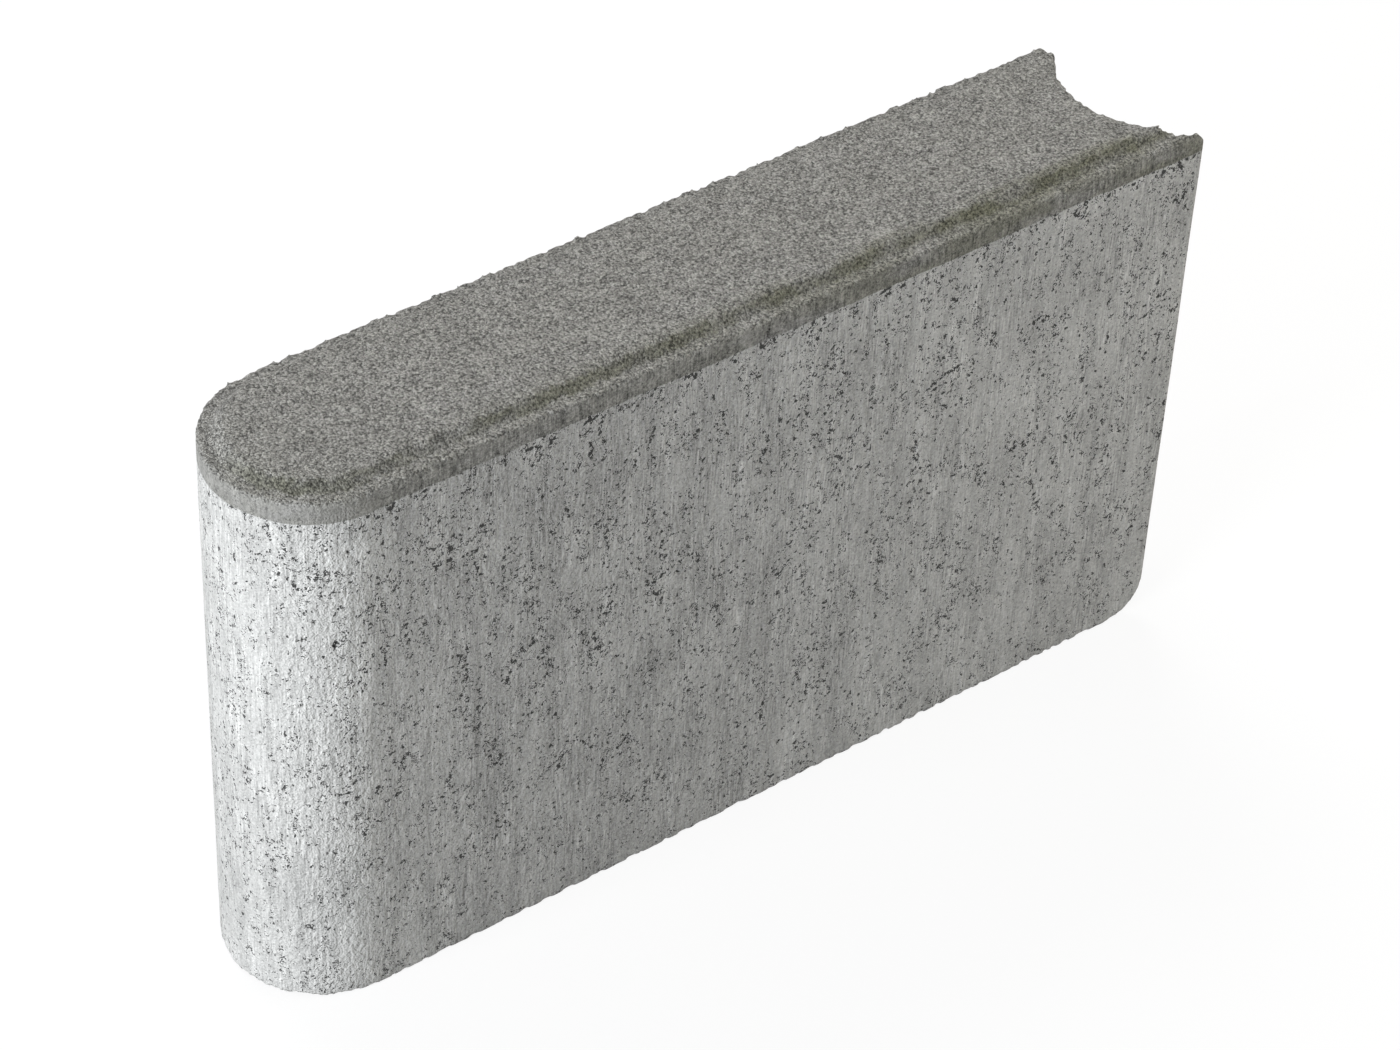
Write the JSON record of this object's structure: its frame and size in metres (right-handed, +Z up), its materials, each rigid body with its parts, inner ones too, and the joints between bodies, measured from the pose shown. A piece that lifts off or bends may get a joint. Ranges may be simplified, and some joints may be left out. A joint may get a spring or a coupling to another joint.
{
  "type": "concrete kerb stone",
  "caption": "Upright pressed-concrete pavement kerb with a half-round nose, a matching hollow socket at the other end, and a raised tread inside a coved lip.",
  "frame": {"origin": "on the ground, under the middle of the stone's bounding box", "axes": "+X along the kerb from the nose to the socket, +Y across its thickness, +Z up to the tread"},
  "size_m": [0.427, 0.08, 0.254],
  "materials": {
    "concrete": "matte"
  },
  "bodies": {
    "root": {"kerb_stone": "concrete"}
  },
  "joints": []
}
